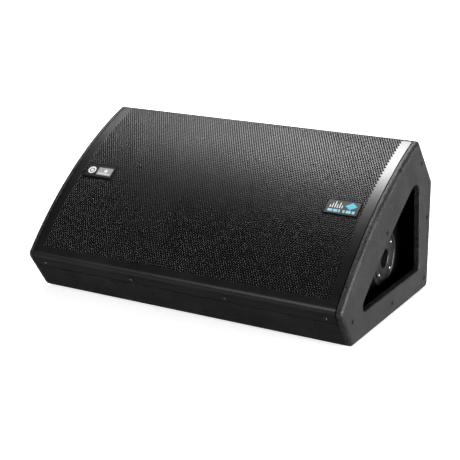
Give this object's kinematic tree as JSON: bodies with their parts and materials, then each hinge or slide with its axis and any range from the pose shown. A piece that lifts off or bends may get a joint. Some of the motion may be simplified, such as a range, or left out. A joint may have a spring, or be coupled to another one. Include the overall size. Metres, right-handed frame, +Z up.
{
  "type": "stage monitor wedge",
  "caption": "Floor monitor loudspeaker wedge with a bowed perforated steel grille, hand recesses in both side panels and a pole socket.",
  "frame": {"origin": "centre of the object's footprint, on the plane that its rubber feet stand on", "axes": "+X along the width, to the right as seen from in front of the grille; -Y towards the grille's lip; +Z up"},
  "size_m": [0.66, 0.4194, 0.3135],
  "materials": {
    "panel_paint": "textured black paint on birch plywood",
    "recess_paint": "flat black paint on plywood",
    "inner_wood": "bare softwood",
    "grille_steel": "satin black powder coat",
    "foam": "open-cell black foam",
    "black_screw": "black oxide",
    "zinc_screw": "bright zinc",
    "badge_plate": "dark gloss",
    "badge_face": "printed film",
    "socket_plastic": "moulded black",
    "rubber": "matt black",
    "felt": "needle felt",
    "cast_frame": "black painted casting",
    "cone_paper": "coated paper pulp",
    "spider_cloth": "impregnated cloth",
    "coil": "copper winding on a former",
    "magnet_steel": "zinc plated",
    "ferrite": "ground ferrite",
    "horn_plastic": "moulded black",
    "diaphragm_metal": "thin formed dome",
    "amp_aluminium": "black anodised",
    "circuit_board": "solder mask",
    "capacitor_sleeve": "shrink sleeve",
    "winding": "taped copper winding",
    "connector_metal": "satin nickel shell",
    "contact_metal": "plated contact",
    "switch_plastic": "moulded black",
    "knob_plastic": "moulded black",
    "led_lens": "diffused lens"
  },
  "bodies": {
    "cabinet": {"amp_board": "circuit_board", "amp_capacitors": "capacitor_sleeve", "amp_gasket": "rubber", "amp_heatsink": "amp_aluminium", "amp_plate": "amp_aluminium", "amp_screws": "black_screw", "back_panel": "panel_paint", "baffle": "recess_paint", "board_posts": "zinc_screw", "bottom_panel": "panel_paint", "cone_surround": "rubber", "control_pots": "knob_plastic", "corner_battens": "inner_wood", "damping_felt": "felt", "foot_screws": "zinc_screw", "grille": "grille_steel", "grille_foam": "foam", "grille_screws": "black_screw", "hf_housing": "cast_frame", "horn_flare": "horn_plastic", "inlet_blades": "contact_metal", "inner_wall_left": "recess_paint", "inner_wall_right": "recess_paint", "kick_panel": "panel_paint", "left_badge_face": "badge_face", "left_badge_plate": "badge_plate", "mains_inlet": "switch_plastic", "pole_socket": "socket_plastic", "pole_socket_screws": "zinc_screw", "port_tubes": "socket_plastic", "right_badge_face": "badge_face", "right_badge_plate": "badge_plate", "rocker_frame": "switch_plastic", "rubber_feet": "rubber", "side_blocks": "recess_paint", "side_panel_left": "panel_paint", "side_panel_right": "panel_paint", "side_panel_screws": "black_screw", "spider": "spider_cloth", "status_leds": "led_lens", "top_panel": "panel_paint", "toroid_transformer": "winding", "transformer_bolt": "zinc_screw", "woofer_back_plate": "magnet_steel", "woofer_basket": "cast_frame", "woofer_gasket": "rubber", "woofer_magnet": "ferrite", "woofer_screws": "black_screw", "woofer_top_plate": "magnet_steel", "xlr_input": "connector_metal", "xlr_link": "connector_metal", "xlr_pins": "contact_metal"},
    "cone_assembly": {"woofer_cone": "cone_paper", "voice_coil": "coil"},
    "hf_diaphragm_body": {"hf_diaphragm": "diaphragm_metal"},
    "volume_knob_body": {"volume_knob": "knob_plastic"},
    "preset_knob_body": {"preset_knob": "knob_plastic"},
    "power_rocker_body": {"power_rocker": "switch_plastic"},
    "ground_lift_body": {"ground_lift_button": "switch_plastic"},
    "xlr_latch_body": {"xlr_latch": "switch_plastic"}
  },
  "joints": [
    {"name": "cone_travel", "type": "slide", "parent": "cabinet", "child": "cone_assembly", "axis": [0, -0.5734, 0.8193], "range_m": [-0.006, 0.006], "stiffness_N_per_m": 6000, "deforming": ["cone_surround", "spider"]},
    {"name": "diaphragm_travel", "type": "slide", "parent": "cabinet", "child": "hf_diaphragm_body", "axis": [0, -0.5734, 0.8193], "range_m": [-0.0003, 0.0003], "stiffness_N_per_m": 1500},
    {"name": "volume_turn", "type": "hinge", "parent": "cabinet", "child": "volume_knob_body", "pos_m": [0.12, 0.19407, 0.154], "axis": [0, -1, 0], "range_deg": [-150, 150]},
    {"name": "preset_turn", "type": "hinge", "parent": "cabinet", "child": "preset_knob_body", "pos_m": [0.12, 0.19407, 0.112], "axis": [0, -1, 0], "range_deg": [0, 270]},
    {"name": "power_switch", "type": "hinge", "parent": "cabinet", "child": "power_rocker_body", "pos_m": [0.118, 0.19157, 0.066], "axis": [1, 0, 0], "range_deg": [-14, 0]},
    {"name": "ground_lift_press", "type": "slide", "parent": "cabinet", "child": "ground_lift_body", "axis": [0, -1, 0], "range_m": [0, 0.0018], "stiffness_N_per_m": 400},
    {"name": "xlr_latch_press", "type": "slide", "parent": "cabinet", "child": "xlr_latch_body", "axis": [0, -1, 0], "range_m": [0, 0.0015], "stiffness_N_per_m": 600}
  ]
}
